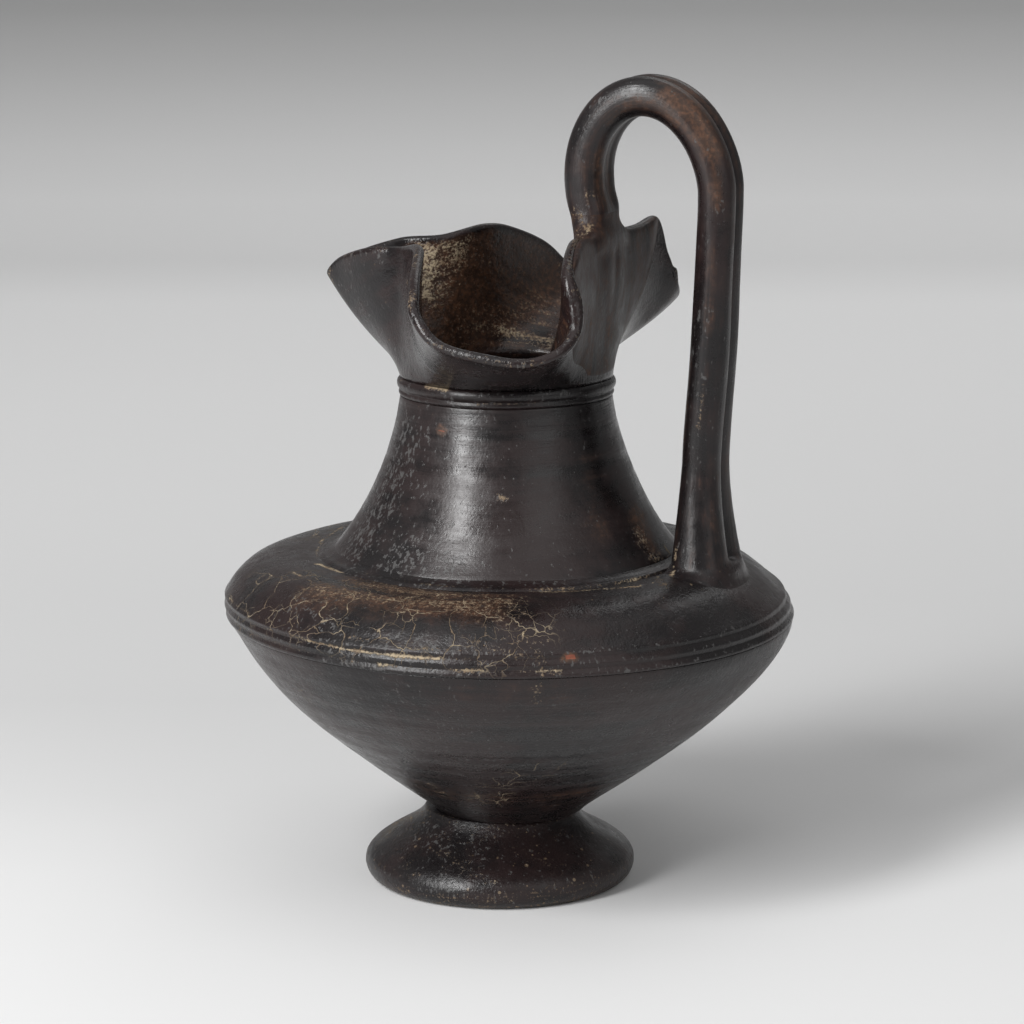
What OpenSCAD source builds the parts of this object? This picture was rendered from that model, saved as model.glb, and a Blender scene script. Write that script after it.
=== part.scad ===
// Oinochoe, a pouring jug of black burnished clay with a trefoil mouth and a high two-rod handle.
// The frame is millimetres, +Z up. The origin is on the table under the middle of the body.
// The spout points along -X and the handle stands on the +X side. The jug is mirrored across Y = 0.
// Every piece is one that the potter throws, rolls or cuts by itself and then joins with slip.

/* [Body] */
// Diameter at the carination, the sharp turn where bowl and shoulder meet
body_d = 205.8; // [190:0.2:220]
// Height of the joint between bowl and shoulder
carination_h = 99; // [92:1:106]
// Height of the shoulder's flat top, where the neck stands
shoulder_h = 120.6; // [117:0.2:126]
// Wall of the thrown pieces
wall = 4.5; // [3.5:0.1:5.5]
// Height of each hidden lap, where one thrown piece steps into the next
lap_h = 2.4; // [1.5:0.1:3]
// Room left round a lap for the slip
slip_gap = 0.2; // [0.1:0.05:0.4]

/* [Ridges at the carination] */
// How far the lowest ridge stands out from the bowl's edge
ridge_out = 0.7; // [0.3:0.1:1.2]
// Distance from one groove to the next
ridge_pitch = 3.6; // [3:0.1:4]
// Depth of the two grooves
groove_deep = 0.9; // [0.4:0.1:1.3]

/* [Foot] */
// Largest diameter of the foot
foot_d = 98.8; // [86:0.2:110]
// Diameter of the ring that the jug rests on, at its outer edge
rest_d = 90; // [80:1:94]
// Width of the resting ring
rest_w = 6; // [4:0.5:8]
// Height of the foot, up to the waist
foot_h = 26.3; // [22:0.5:30]
// Diameter of the waist between foot and bowl
waist_d = 55; // [50:0.2:64]
// Height of the foot's widest point
foot_edge_h = 6.2; // [4:0.2:8]
// Height of the hollow under the foot
foot_hollow_h = 17; // [12:0.5:18]
// How far the hand-set foot stands off the body's axis, toward the spout
foot_off = 3.7; // [0:0.1:5]

/* [Neck] */
// Diameter of the neck where it stands on the shoulder
neck_base_d = 124; // [114:1:132]
// Diameter of the neck under the collar
neck_top_d = 76.4; // [70:0.5:84]
// Height of the collar's lower edge
neck_top_h = 179; // [170:1:188]
// Height of the moulding round the neck's base
base_ring_h = 2.8; // [2:0.1:4]
// Width of that moulding
base_ring_w = 3; // [2:0.1:4]
// Height of the collar
collar_h = 6.4; // [5:0.2:8]
// How far the collar's beads stand out from the neck
collar_out = 1.2; // [0.8:0.1:1.6]

/* [Mouth] */
// Wall of the mouth, which the potter folds while it is soft
lip = 3.6; // [3:0.1:4.4]
// Reach of the spout's tip from the axis
spout_reach = 69; // [62:1:74]
// Height of the spout's tip above the collar
spout_rise = 32.6; // [30:0.2:36]
// Half width of the mouth at the pinch between spout and side lobe
pinch_w = 21.5; // [19:0.5:25]
// Height of the pinch and of the fold behind it, above the collar
fold_rise = 47; // [43:1:51]
// Reach of each side lobe from the mirror plane
lobe_reach = 79.5; // [72:0.5:86]
// Height of a side lobe's lowest point above the collar
lobe_rise = 17; // [15:0.2:20]
// Half width of the flat back between its top corners
back_w = 52; // [47:0.5:56]
// Height of the back's top corners above the collar
back_rise = 51; // [47:0.5:55]
// Distance of the flat back from the axis
back_reach = 35.5; // [33:0.5:39]

/* [Handle] */
// Diameter of each rod
rod_d = 13; // [11:0.2:14.2]
// Distance between the rods' centres
rod_pitch = 10.2; // [9:0.1:10.8]
// Height of the handle's top above the top corners of the mouth's back
handle_rise = 56.6; // [52:0.2:62]
// Distance of the rising rods from the axis
rise_x = 31; // [29:0.5:34]
// How far the rods' lower ends stand in from the carination
seat_in = 27.6; // [25:0.2:28.4]
// How far the falling rods bow out past their lower ends
fall_bow = 2.8; // [1:0.2:5]
// Thickness of the plate behind the mouth
plate_t = 4.2; // [3:0.1:5]
// Height of the root that the rods stand on, above the back's top edge
root_h = 8; // [6:0.5:12]
// Thickness of the clay pad under the rods' lower ends
pad_t = 2.6; // [2:0.1:4]

/* [Hidden] */
body_r = body_d / 2;
foot_r = foot_d / 2;
rest_r = rest_d / 2;
waist_r = waist_d / 2;
neck_base_r = neck_base_d / 2;
neck_top_r = neck_top_d / 2;
mouth_h = neck_top_h + collar_h;
seat_x = body_r - seat_in;
fall_x = seat_x + fall_bow;
handle_top_h = mouth_h + back_rise + handle_rise;
clay = [0.13, 0.12, 0.12];
clay_warm = [0.2, 0.15, 0.13];
turn_fn = 96;
curve_steps = 12;

// Pulls of the curves, each from its own end point: across, then up
bowl_pull_low = [5.1, 7.1];
bowl_pull_top = [-10.8, -32.5];
dome_pull_edge = [-5, 4];
dome_pull_neck = [28, 1.8];
neck_pull_base = [-10, 11.1];
neck_pull_top = [3.2, -22.9];
edge_pull_rest = [2.6, 0.4];
edge_pull_side = [0, -3];
foot_pull_edge = [0, 7.6];
foot_pull_waist = [3.9, -8.7];
hollow_pull_top = [14, 0];
hollow_pull_rest = [-11, 5.5];

// Places of the joints between the thrown pieces
boss_walls = 1.4;
shoulder_edge_in = 0.4;
bowl_rim_r = body_r - ridge_out;
rim_lap_r = body_r - wall / 2;
boss_r = waist_r - boss_walls * wall;
neck_lap_r = neck_base_r - wall / 2;
collar_seat_r = neck_top_r - 1.6;
ridge_h = carination_h + 1;
// The ridges lean in with the square of their height, and a power above 1 narrows their crests
ridge_lean = 0.028;
crest_power = 1.5;

// Point at share t of the cubic curve from p to s that q and r pull
function cubic(p, q, r, s, t) =
    pow(1 - t, 3) * p + 3 * t * pow(1 - t, 2) * q + 3 * t * t * (1 - t) * r + pow(t, 3) * s;

// The curve from p to s, leaving along pull a and arriving along pull b
function curve(p, a, b, s, n = curve_steps) = [for (i = [0:n]) cubic(p, p + a, s + b, s, i / n)];

// A path moved to its left by w
function moved(path, w) = [
    for (i = [0:len(path) - 1])
        let (d = path[min(i + 1, len(path) - 1)] - path[max(i - 1, 0)])
            path[i] + w * [-d[1], d[0]] / norm(d)
];

function backwards(path) = [for (i = [len(path) - 1:-1:0]) path[i]];

function above(path, h) = [for (p = path) if (p[1] > h) p];

// Points on the spline through p1 and p2, with p0 before them and p3 after
function spline(p0, p1, p2, p3, t) = 0.5 * (2 * p1 + (p2 - p0) * t
    + (2 * p0 - 5 * p1 + 4 * p2 - p3) * t * t + (3 * p1 - p0 - 3 * p2 + p3) * t * t * t);

module turned(profile) rotate_extrude($fn = turn_fn) polygon(profile);

// Foot: a hollow trumpet with a rounded edge, set a little off the axis by hand
foot_edge = [foot_r, foot_edge_h];
module foot() color(clay) difference() {
    translate([-foot_off, 0, 0]) turned(concat(
        curve([rest_r, 0], edge_pull_rest, edge_pull_side, foot_edge, 6),
        curve(foot_edge, foot_pull_edge, foot_pull_waist, [waist_r, foot_h], 16),
        [[0, foot_h], [0, foot_hollow_h]],
        curve([0, foot_hollow_h], hollow_pull_top, hollow_pull_rest, [rest_r - rest_w, 0], 10)));
    translate([0, 0, foot_h - lap_h]) cylinder(r = boss_r + slip_gap, h = lap_h + 1, $fn = turn_fn);
}

// Bowl: a deep cone with a slight belly, a boss under its floor and a tongue round its rim
bowl_outside = curve([waist_r, foot_h], bowl_pull_low, bowl_pull_top, [bowl_rim_r, carination_h], 18);
bowl_inside = moved(bowl_outside, wall);
bowl_top = bowl_inside[len(bowl_inside) - 1];
module bowl() color(clay_warm) turned(concat(
    [[0, foot_h - lap_h], [boss_r, foot_h - lap_h], [boss_r, foot_h]],
    bowl_outside,
    [[rim_lap_r, carination_h], [rim_lap_r, carination_h + lap_h], [bowl_top[0], carination_h + lap_h]],
    backwards(bowl_inside),
    [[0, bowl_inside[0][1]]]));

// Shoulder: two grooves between three ridges at its edge, then a low dome up to the neck
ridge_steps = 8;
ridges = [
    for (i = [0:2 * ridge_steps])
        let (h = i / ridge_steps * ridge_pitch, crest = pow(abs(cos(180 * i / ridge_steps)), crest_power))
            [body_r - ridge_lean * h * h - groove_deep * (1 - crest), ridge_h + h]
];
ridge_end = ridges[len(ridges) - 1];
dome_end = [neck_base_r + base_ring_w, shoulder_h];
dome = curve(ridge_end, dome_pull_edge, dome_pull_neck, dome_end);
module shoulder() color(clay) turned(concat(
    [[rim_lap_r + slip_gap, carination_h], [body_r - shoulder_edge_in, carination_h]],
    ridges,
    [for (i = [1:len(dome) - 1]) dome[i]],
    [[neck_lap_r, shoulder_h], [neck_lap_r, shoulder_h + lap_h]],
    [[neck_base_r - wall, shoulder_h + lap_h], [neck_base_r - wall, shoulder_h - wall]],
    backwards(moved(dome, wall)),
    [[bowl_top[0], carination_h + lap_h], [rim_lap_r + slip_gap, carination_h + lap_h]]));

// The moulding that covers the joint between shoulder and neck
module neck_base_ring() color(clay) turned(concat(
    [[neck_base_r + slip_gap / 2, shoulder_h]],
    curve([neck_base_r + base_ring_w, shoulder_h], [0, base_ring_h * 0.7], [base_ring_w * 0.7, 0],
          [neck_base_r + slip_gap / 2, shoulder_h + base_ring_h], 6)));

// Neck: a flared tube with a rebate over the shoulder's lip and a spigot for the collar
neck_outside = curve([neck_base_r, shoulder_h + base_ring_h], neck_pull_base, neck_pull_top,
                     [neck_top_r, neck_top_h], 18);
neck_inside = above(moved(neck_outside, wall), shoulder_h + lap_h + 0.2);
neck_bore_r = neck_inside[len(neck_inside) - 1][0];
module neck() color(clay) turned(concat(
    [[neck_lap_r + slip_gap, shoulder_h], [neck_base_r, shoulder_h]],
    neck_outside,
    [[collar_seat_r, neck_top_h], [collar_seat_r, mouth_h], [neck_bore_r, mouth_h]],
    backwards(neck_inside),
    [[neck_base_r - wall, shoulder_h + lap_h], [neck_lap_r + slip_gap, shoulder_h + lap_h]]));

// Collar: a thin bead and a fat one above it round the neck's spigot, under the mouth
bead_steps = 8;
// The thin bead's share of the collar's height and of how far the fat one stands out
thin_bead = 0.3;
thin_out = 0.5;
// A power below 1 makes the beads full
bead_power = 0.6;
function bead(h, high, out) = [
    for (i = [0:bead_steps])
        [neck_top_r + out * pow(sin(180 * i / bead_steps), bead_power), h + high * i / bead_steps]
];
module collar() color(clay) turned(concat(
    [[collar_seat_r + slip_gap, neck_top_h]],
    bead(neck_top_h, thin_bead * collar_h, thin_out * collar_out),
    bead(neck_top_h + thin_bead * collar_h, (1 - thin_bead) * collar_h, collar_out),
    [[collar_seat_r + slip_gap, mouth_h]]));

// How far the back's edge dips between its top corners
back_dip = 1;
// Half of the mouth's rim, from the spout's tip round one lobe to the middle of the back.
// Each point is reach toward the spout, distance from the mirror plane, height over the collar.
rim_half = [
    [spout_reach, 0, spout_rise],
    [spout_reach - 6.5, 6.5, spout_rise + 5.6],
    [spout_reach - 21, 17.3, fold_rise - 3.8],
    [spout_reach - 36, pinch_w, fold_rise - 1.8],
    [22, pinch_w + 14.5, fold_rise + 0.8],
    [16.5, pinch_w + 29, fold_rise - 2.4],
    [11.5, lobe_reach - 13, lobe_rise + 21],
    [7, lobe_reach - 3.5, lobe_rise + 13],
    [-5, lobe_reach, lobe_rise + 3.6],
    [-26, lobe_reach - 2, lobe_rise - 0.6],
    [-41, lobe_reach - 10, lobe_rise + 2.6],
    [-45.5, back_w + 6.5, lobe_rise + 9.5],
    [-43.5, back_w + 2.5, back_rise - 16],
    [-back_reach - 4.5, back_w, back_rise],
    [-back_reach - 2, back_w - 18, back_rise - back_dip],
    [-back_reach, back_w - 36, back_rise - back_dip],
    [-back_reach, 0, back_rise - back_dip]
];
// Where on the neck's circle, in degrees from the spout, the clay under each of those points starts
foot_angle = [0, 9, 22, 35, 50, 60, 71, 82, 96, 108, 117, 124, 130, 139, 152, 166, 180];
rim_parts = 4;
rim_last = len(rim_half) - 1;
half_n = rim_last * rim_parts;
rim_n = 2 * half_n;

// A rim point by its number, mirrored past either end
function rim_at(i) =
    i < 0 ? [rim_half[-i][0], -rim_half[-i][1], rim_half[-i][2]] :
    i > rim_last ? [rim_half[2 * rim_last - i][0], -rim_half[2 * rim_last - i][1],
                    rim_half[2 * rim_last - i][2]] : rim_half[i];
function angle_at(i) =
    i < 0 ? -foot_angle[-i] : i > rim_last ? 360 - foot_angle[2 * rim_last - i] : foot_angle[i];

// Column j of the mouth: j runs from the spout's tip round the near lobe, the back and the far lobe
function half_column(j) = j <= half_n ? j : rim_n - j;
function side_of(j) = j <= half_n ? 1 : -1;
function rim_point(j) =
    let (h = half_column(j), i = floor(h / rim_parts), t = h / rim_parts - i,
         p = i >= rim_last ? rim_at(rim_last)
             : spline(rim_at(i - 1), rim_at(i), rim_at(i + 1), rim_at(i + 2), t))
        [-p[0], -side_of(j) * p[1], p[2] + mouth_h];
function base_point(j) =
    let (h = half_column(j), i = floor(h / rim_parts), t = h / rim_parts - i,
         a = i >= rim_last ? 180
             : spline(angle_at(i - 1), angle_at(i), angle_at(i + 1), angle_at(i + 2), t))
        [-neck_top_r * cos(a), -side_of(j) * neck_top_r * sin(a), mouth_h];

// The wall leaves the collar with a little rise and a belly that grows with its lean, then runs straight
wall_rows = 9;
wall_rise = 0.05;
wall_belly = 0.2;
wall_crown = 0.7;
wall_share = 0.33;
function wall_point(j, s) =
    let (b = base_point(j), r = rim_point(j), c = r - b,
         belly = wall_belly * norm([c[0], c[1]]) / neck_top_r * [b[0], b[1], 0])
        cubic(b, b + wall_share * c + belly + wall_rise * norm(c) * [0, 0, 1],
              r - wall_share * c + wall_crown * belly, r, s);
wall_grid = [for (k = [0:wall_rows]) [for (j = [0:rim_n - 1]) wall_point(j, k / wall_rows)]];

// Outward direction of the wall at row k, column j
function wall_out(k, j) =
    k == 0 ? [wall_grid[0][j][0], wall_grid[0][j][1], 0] / neck_top_r :
    let (u = wall_grid[min(k + 1, wall_rows)][j] - wall_grid[k - 1][j],
         v = wall_grid[k][(j + 1) % rim_n] - wall_grid[k][(j + rim_n - 1) % rim_n],
         n = cross(v, u))
        n / norm(n);
function wall_up(j) = let (d = wall_grid[wall_rows][j] - wall_grid[wall_rows - 1][j]) d / norm(d);

// The rim's edge is a half circle of the lip's thickness
lip_steps = 4;
lip_rows = [
    for (k = [1:lip_steps - 1]) [
        for (j = [0:rim_n - 1])
            let (a = 180 * k / lip_steps, n = wall_out(wall_rows, j))
                wall_grid[wall_rows][j] - lip / 2 * (1 - cos(a)) * n + lip / 2 * sin(a) * wall_up(j)
    ]
];
inner_rows = [
    for (k = [wall_rows:-1:0]) [for (j = [0:rim_n - 1]) wall_grid[k][j] - lip * wall_out(k, j)]
];

// Triangles of a grid of rows and columns. The rows close on themselves. With wrap, so do the columns,
// and without it each end is closed between the first rows and the last.
function grid_faces(rows, cols, wrap) = concat(
    [for (k = [0:rows - 1]) for (j = [0:cols - (wrap ? 1 : 2)]) for (half = [0, 1])
        let (k2 = (k + 1) % rows, j2 = (j + 1) % cols,
             a = k * cols + j, b = k * cols + j2, c = k2 * cols + j2, d = k2 * cols + j)
            half == 0 ? [a, c, b] : [a, d, c]],
    wrap ? [] : [for (k = [0:rows / 2 - 2]) for (end = [0, 1]) for (half = [0, 1])
        let (j = end * (cols - 1), a = k * cols + j, b = (k + 1) * cols + j,
             c = (rows - 2 - k) * cols + j, d = (rows - 1 - k) * cols + j)
            end == 0 ? (half == 0 ? [a, c, b] : [a, d, c]) : (half == 0 ? [a, b, c] : [a, c, d])]);

function flat(rows) = [for (row = rows) for (p = row) p];

// Mouth: a spout between two wide lobes that are folded out and down, and a flat upright back
mouth_rows = concat(wall_grid, lip_rows, inner_rows);
module mouth() color(clay) polyhedron(flat(mouth_rows), grid_faces(len(mouth_rows), rim_n, true));

// Plate: a slab luted to the outside of the mouth's back, with two ridges that run down from the rods
plate_first = 13 * rim_parts - 1;
plate_cols = rim_n - 2 * plate_first + 1;
plate_low_row = 1;
plate_edge = 0.2;
// Room between the plate's top edge and the root above it
plate_top_in = 0.45;
plate_fade = 6;
ridge_w = 4.5;
plate_ridge = 1.8;
function plate_thick(k, j) =
    let (p = wall_grid[k][j], s = (k - plate_low_row) / (wall_rows - plate_low_row),
         side = min(j - plate_first, rim_n - plate_first - j) / plate_fade,
         edge = plate_edge + (1 - plate_edge) * sin(90 * min(1, side)),
         bump = exp(-pow((abs(p[1]) - rod_pitch / 2) / ridge_w, 2)))
        edge * plate_t * (plate_edge + (1 - plate_edge) * s) + plate_ridge * bump * s;
// One row of the plate: share of its thickness at wall row k, raised by up along the wall
function plate_row(k, share, up) = [
    for (j = [plate_first:rim_n - plate_first])
        wall_grid[k][j] + share * plate_thick(k, j) * wall_out(k, j) + up * wall_up(j)
];
plate_rows = concat(
    [for (k = [plate_low_row:wall_rows]) plate_row(k, 1, 0)],
    [plate_row(wall_rows, 0.9, lip / 2 - plate_top_in), plate_row(wall_rows, 0.2, lip / 2 - plate_top_in)],
    [for (k = [wall_rows:-1:plate_low_row]) plate_row(k, 0, 0)]);
module handle_plate() color(clay_warm)
    polyhedron(flat(plate_rows), grid_faces(len(plate_rows), plate_cols, false));

// Centre line of the handle in the mirror plane: up from the root, over half an ellipse, down to the pad
root_base_h = mouth_h + back_rise - back_dip + lip / 2;
root_top = root_base_h + root_h;
loop_mid = (rise_x + fall_x) / 2;
loop_r = (fall_x - rise_x) / 2;
loop_top = handle_top_h - rod_d / 2;
loop_h = 31.5;
loop_lean = 2.8;
loop_base = loop_top - loop_h;
seat_h = shoulder_h + pad_t;
rise_steps = 5;
loop_steps = 24;
fall_steps = 22;
handle_line = concat(
    curve([rise_x + 1, root_top], [0, 3], [0, -4], [rise_x, loop_base], rise_steps),
    [for (i = [1:loop_steps]) let (a = 180 * i / loop_steps)
        [loop_mid - loop_r * cos(a) - loop_lean * sin(a), loop_base + loop_h * sin(a)]],
    [for (i = [1:fall_steps])
        cubic([fall_x, loop_base], [fall_x + 0.6, loop_base - 50], [seat_x - 3, seat_h + 50],
              [seat_x, seat_h], i / fall_steps)]);
line_last = len(handle_line) - 1;

// Across direction of the line at point i, level at both ends so that the rods stand flat
function line_across(i) =
    i == 0 ? [-1, 0] : i == line_last ? [1, 0] :
    let (d = handle_line[i + 1] - handle_line[i - 1]) [-d[1], d[0]] / norm(d);

// The rods are a little thicker on the rising side and spread where they meet the pad
rise_swell = 0.08;
flare = 0.52;
flare_len = 32;
loop_last = rise_steps + loop_steps;
function rod_scale(i) =
    let (h = handle_line[i][1] - seat_h)
        i <= loop_last ? 1 + rise_swell * (1 - pow(i / loop_last, 3)) :
        h < flare_len ? 1 + flare * pow(1 - h / flare_len, 1.5) : 1;

// Section of one rod: a circle cut flat where the two rods are pressed together.
// Each point is the distance across the line in the mirror plane, then the distance from that plane.
rod_n = 18;
rod_cut = acos(rod_pitch / rod_d);
rod_section = [
    for (i = [0:rod_n - 1])
        let (a = 180 - rod_cut - (360 - 2 * rod_cut) * i / (rod_n - 1))
            [rod_d / 2 * sin(a), rod_pitch / 2 + rod_d / 2 * cos(a)]
];

// Triangles of a tube of rings with a flat end at each side
function tube_faces(rings, n) = concat(
    [for (i = [0:rings - 2]) for (j = [0:n - 1]) for (half = [0, 1])
        let (j2 = (j + 1) % n, a = i * n + j, b = i * n + j2, c = (i + 1) * n + j2, d = (i + 1) * n + j)
            half == 0 ? [a, c, b] : [a, d, c]],
    [[for (j = [0:n - 1]) j], [for (j = [n - 1:-1:0]) (rings - 1) * n + j]]);

module rod() polyhedron(
    [for (i = [0:line_last]) for (p = rod_section)
        let (n = line_across(i), c = handle_line[i], k = rod_scale(i))
            [c[0] + k * p[0] * n[0], -k * p[1], c[1] + k * p[0] * n[1]]],
    tube_faces(line_last + 1, rod_n));
module rod_near() color(clay) rod();
module rod_far() color(clay_warm) mirror([0, 1, 0]) rod();

// Root: the lump of clay that saddles the mouth's back and carries both rods
root_n = 32;
root_levels = 8;
root_lap = 1.6;
root_half_w = 20;
root_spread = 2.4;
// Power that squares off the outlines of root and pad
squarer = 0.8;
root_base_half = [(lip + plate_t) / 2 + root_lap, root_half_w];
root_top_half = rod_scale(0) * [rod_d / 2, (rod_pitch + rod_d) / 2];
root_base_x = back_reach - lip / 2 + plate_t / 2;
root_top_x = handle_line[0][0];
module handle_root() color(clay_warm) polyhedron(
    [for (k = [0:root_levels]) for (j = [0:root_n - 1])
        let (s = k / root_levels, e = pow(1 - s, root_spread), a = 360 * j / root_n,
             h = root_top_half + (root_base_half - root_top_half) * e,
             x = root_top_x + (root_base_x - root_top_x) * e)
            [x + h[0] * sign(cos(a)) * pow(abs(cos(a)), squarer),
             h[1] * sign(sin(a)) * pow(abs(sin(a)), squarer), root_base_h + root_h * s]],
    tube_faces(root_levels + 1, root_n));

// Pad: clay pressed on the shoulder under the rods, with sloping sides and fitted to the dome below
pad_mid_x = seat_x + 1.2;
pad_half = [14.4, 22.4];
pad_taper = [0.8, 0.84];
pad_n = 40;
pad_under = 6;
dome_under = 4;
dome_floor = ridge_end[1] - dome_under;
module handle_pad() color(clay) difference() {
    translate([pad_mid_x, 0, shoulder_h - pad_under])
        linear_extrude(height = pad_under + pad_t, scale = pad_taper) polygon([
            for (i = [0:pad_n - 1])
                let (a = 360 * i / pad_n)
                    [pad_half[0] * sign(cos(a)) * pow(abs(cos(a)), squarer),
                     pad_half[1] * sign(sin(a)) * pow(abs(sin(a)), squarer)]]);
    turned(concat([[0, dome_floor], [ridge_end[0], dome_floor]], dome, [[0, shoulder_h]]));
    cylinder(r = neck_base_r + base_ring_w + slip_gap, h = shoulder_h + 2 * base_ring_h, $fn = turn_fn);
}

foot();
bowl();
shoulder();
neck_base_ring();
neck();
collar();
mouth();
handle_plate();
handle_root();
rod_near();
rod_far();
handle_pad();
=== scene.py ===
import math
from types import SimpleNamespace

import bpy
import bmesh
import numpy as np
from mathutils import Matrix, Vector
from mathutils.bvhtree import BVHTree

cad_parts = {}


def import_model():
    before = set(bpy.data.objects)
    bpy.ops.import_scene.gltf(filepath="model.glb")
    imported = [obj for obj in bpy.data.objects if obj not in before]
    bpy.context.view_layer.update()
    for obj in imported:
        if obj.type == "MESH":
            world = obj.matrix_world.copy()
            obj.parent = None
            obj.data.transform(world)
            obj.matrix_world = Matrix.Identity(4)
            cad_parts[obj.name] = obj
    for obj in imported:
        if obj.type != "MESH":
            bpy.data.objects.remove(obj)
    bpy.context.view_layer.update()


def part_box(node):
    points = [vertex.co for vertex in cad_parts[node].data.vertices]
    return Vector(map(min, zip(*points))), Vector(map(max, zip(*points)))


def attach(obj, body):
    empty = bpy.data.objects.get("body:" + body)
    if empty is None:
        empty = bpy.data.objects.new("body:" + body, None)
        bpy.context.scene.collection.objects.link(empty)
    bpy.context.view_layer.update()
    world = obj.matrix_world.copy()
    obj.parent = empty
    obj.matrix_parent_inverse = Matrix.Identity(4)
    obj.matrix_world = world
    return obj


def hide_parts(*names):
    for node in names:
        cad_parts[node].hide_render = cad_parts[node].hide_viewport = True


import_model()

# Lengths are millimetres in the frame's axes until a mesh is made.
MM = 0.001


def low(node, axis):
    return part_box(node)[0][axis] / MM


def high(node, axis):
    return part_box(node)[1][axis] / MM


# Sizes from the frame
BODY_R = high("shoulder", 0)
CARINATION_H = low("shoulder", 2)
LAP_H = high("bowl", 2) - CARINATION_H
SHOULDER_H = low("neck", 2)
FOOT_H = high("foot", 2)
FOOT_X = (low("foot", 0) + high("foot", 0)) / 2
FOOT_R = (high("foot", 0) - low("foot", 0)) / 2
NECK_BASE_R = high("neck", 0)
RING_R = high("neck_base_ring", 0)
RING_TOP_H = high("neck_base_ring", 2)
NECK_TOP_H = low("collar", 2)
MOUTH_H = high("collar", 2)
HANDLE_TOP_H = high("rod_near", 2)
BACK_TOP_H = low("handle_root", 2)
ROOT_TOP_H = high("handle_root", 2)
PAD_TOP_H = high("handle_pad", 2)

# Sizes of the clay that the frame's boxes don't give
WALL = 4.5
SLIP = 0.2
WAIST_R = 27.5
REST_R = 45.0
REST_W = 6.0
FOOT_EDGE_H = 6.2
HOLLOW_H = 17.0
NECK_TOP_R = 38.2
COLLAR_OUT = 1.2
RIDGE_PITCH = 3.6
GROOVE_DEEP = 0.9
RIDGE_LEAN = 0.028
CREST_POWER = 1.5
LIP = 3.6
BACK_X = 34.9
ROD_D = 13.0
ROD_PITCH = 10.2
RISE_X = 31.0
SEAT_X = BODY_R - 27.6
FALL_X = SEAT_X + 3.5

# Camera of the photograph, 20 degrees from the front toward the handle
VIEW_TURN = math.radians(20)
VIEW_DIP = math.radians(11.6)
RIGHT = np.array([math.cos(VIEW_TURN), math.sin(VIEW_TURN), 0.0])
NEAR = np.array([math.sin(VIEW_TURN), -math.cos(VIEW_TURN), 0.0])
CAMERA_FAR = 1260.0
CAMERA_SIDE = 1.0
CAMERA_H = 393.8
LENS = 125.5
SENSOR = 36.0
PICTURE = 1024


def cubic(p, q, r, s, t):
    t = np.asarray(t)[:, None]
    return (1 - t) ** 3 * p + 3 * t * (1 - t) ** 2 * q + 3 * t * t * (1 - t) * r + t ** 3 * s


def curve(p, pull_p, pull_s, s, n=60):
    """A curve from p to s that leaves along pull_p and arrives along pull_s."""
    p, s = np.array(p, float), np.array(s, float)
    return cubic(p, p + pull_p, s + pull_s, s, np.linspace(0, 1, n + 1))


def run_along(path):
    """How far along the path each of its points lies."""
    return np.r_[0, np.cumsum(np.linalg.norm(np.diff(path, axis=0), axis=1))]


def unit(v):
    return v / np.linalg.norm(v, axis=-1, keepdims=True)


def left_of(path):
    d = unit(np.gradient(path, axis=0))
    return np.stack([-d[:, 1], d[:, 0]], 1)


def moved(path, w):
    """The path moved to its left by w."""
    return path + w * left_of(path)


def waves(points, length, seed, count=14):
    """Smooth unevenness between about -1 and 1: a sum of plane waves about as long as length."""
    rng = np.random.default_rng(seed)
    way = unit(rng.normal(size=(count, 3)))
    size = 2 * math.pi / (length * rng.uniform(0.7, 1.6, count))
    phase = rng.uniform(0, 2 * math.pi, count)
    return np.sin(points @ (way * size[:, None]).T + phase).sum(1) / math.sqrt(count)


def band(value, middle, half):
    """1 at the middle, falling away to both sides."""
    return np.exp(-((value - middle) / half) ** 2)


def smooth(x, start, end):
    t = np.clip((np.asarray(x, float) - start) / (end - start), 0, 1)
    return t * t * (3 - 2 * t)


# How the jug departs from the even frame, as one field that every piece follows: heights, and how far the
# body hangs toward the handle's side there
DRIFT_H = [34, 50, 70, 82, 92, 97, 100, 104, 108, 114, 118, 122]
DRIFT = [0, 0.9, 1.2, 1.9, 2.1, 1.4, 0.3, -0.5, -1.8, -2.8, -2.4, 0]
DRIFT_BLUR = 1.6
NECK_SHIFT = -0.8
UNEVEN = 0.3
WANDER = 0.22
WANDER_LENGTH = 42.0
# A low swelling on the handle's side of the foot's throat: place, reach and height
SWELLING = (32.0, 0.0, 22.0)
SWELLING_R = 9.0
SWELLING_OUT = 1.8


def drift_at(z):
    heights = np.arange(-40, 360, 0.5)
    blur = np.exp(-0.5 * (np.arange(-20, 21) * 0.5 / DRIFT_BLUR) ** 2)
    table = np.convolve(np.interp(heights, DRIFT_H, DRIFT), blur / blur.sum(), "same")
    return np.interp(z, heights, table)


def by_hand(points):
    """The points as the potter's hand left them, hanging to one side and not quite round."""
    p = np.array(points, float)
    x, y, z = p.T
    r = np.hypot(x, y) + 1e-9
    inward = UNEVEN * (0.5 + 0.5 * waves(p, 70, 11)) * smooth(z, 3, 14) * (1 - smooth(z, 236, 250))
    swell = SWELLING_OUT * np.exp(-((p - SWELLING) ** 2).sum(1) / SWELLING_R ** 2) * (z < FOOT_H)
    drift = drift_at(z)
    free = WANDER * smooth(z, 4, 20) * (1 - smooth(z, 268, 286)) * (1 - smooth(r, 98, 101))
    out = p + free[:, None] * np.stack([waves(p, WANDER_LENGTH, seed, 8) for seed in (21, 22, 23)], 1)
    out[:, 0] += NECK_SHIFT * smooth(z, 108, 126) + (swell - inward) * x / r + drift * RIGHT[0]
    out[:, 1] += (swell - inward) * y / r + drift * RIGHT[1]
    return out


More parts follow.
